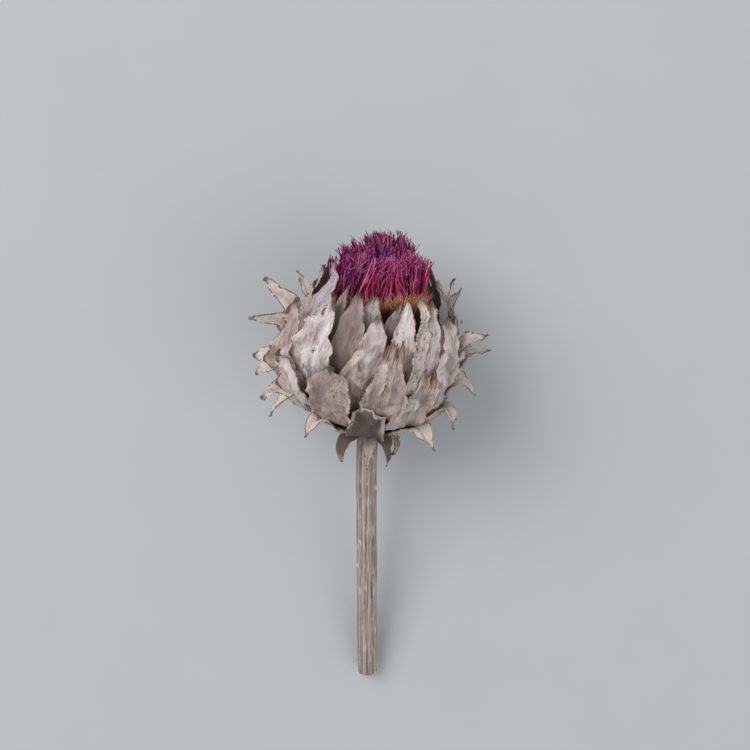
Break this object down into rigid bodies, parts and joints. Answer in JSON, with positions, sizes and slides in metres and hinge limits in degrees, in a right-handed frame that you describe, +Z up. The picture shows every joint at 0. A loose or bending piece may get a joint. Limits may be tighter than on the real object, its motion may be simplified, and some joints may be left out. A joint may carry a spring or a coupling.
{
  "type": "dried artichoke flower head",
  "caption": "Dried flowering artichoke head lying on its cut stem: overlapping spiny papery bracts around a dense tuft of magenta florets.",
  "frame": {"origin": "centre of the bottom of the box around the flower, on the surface it lies on", "axes": "+Y from the cut end of the stem towards the florets, +Z up from the surface, through the side of the head that shows best"},
  "size_m": [0.115, 0.2318, 0.0954],
  "materials": {
    "bracts": "matte",
    "inner_bracts": "matte",
    "dry_stem": "matte",
    "florets": "matte",
    "pappus": "matte"
  },
  "bodies": {
    "root": {"belly_bract_1": "bracts", "belly_bract_2": "bracts", "belly_bract_3": "bracts", "belly_bract_4": "bracts", "belly_bract_5": "bracts", "belly_bract_6": "bracts", "belly_bract_7": "bracts", "belly_bract_8": "bracts", "floret_tuft": "florets", "inner_bract_1": "inner_bracts", "inner_bract_2": "inner_bracts", "inner_bract_3": "inner_bracts", "inner_bract_4": "inner_bracts", "inner_bract_5": "inner_bracts", "inner_bract_6": "inner_bracts", "inner_bract_7": "inner_bracts", "inner_bract_8": "inner_bracts", "inner_bract_9": "inner_bracts", "low_bract_1": "bracts", "low_bract_2": "bracts", "low_bract_3": "bracts", "low_bract_4": "bracts", "low_bract_5": "bracts", "low_bract_6": "bracts", "low_bract_7": "bracts", "low_bract_8": "bracts", "low_bract_9": "bracts", "lowest_bract_1": "bracts", "lowest_bract_2": "bracts", "lowest_bract_3": "bracts", "lowest_bract_4": "bracts", "lowest_bract_5": "bracts", "lowest_bract_6": "bracts", "lowest_bract_7": "bracts", "pappus_collar": "pappus", "shoulder_bract_1": "bracts", "shoulder_bract_2": "bracts", "shoulder_bract_3": "bracts", "shoulder_bract_4": "bracts", "shoulder_bract_5": "bracts", "shoulder_bract_6": "bracts", "shoulder_bract_7": "bracts", "shoulder_bract_8": "bracts", "shoulder_bract_9": "bracts", "stem_and_receptacle": "dry_stem", "stem_bract_1": "bracts", "stem_bract_2": "bracts", "stem_bract_3": "bracts", "stem_bract_4": "bracts", "stem_bract_5": "bracts", "upper_bract_1": "bracts", "upper_bract_10": "bracts", "upper_bract_2": "bracts", "upper_bract_3": "bracts", "upper_bract_4": "bracts", "upper_bract_5": "bracts", "upper_bract_6": "bracts", "upper_bract_7": "bracts", "upper_bract_8": "bracts", "upper_bract_9": "bracts"}
  },
  "joints": []
}
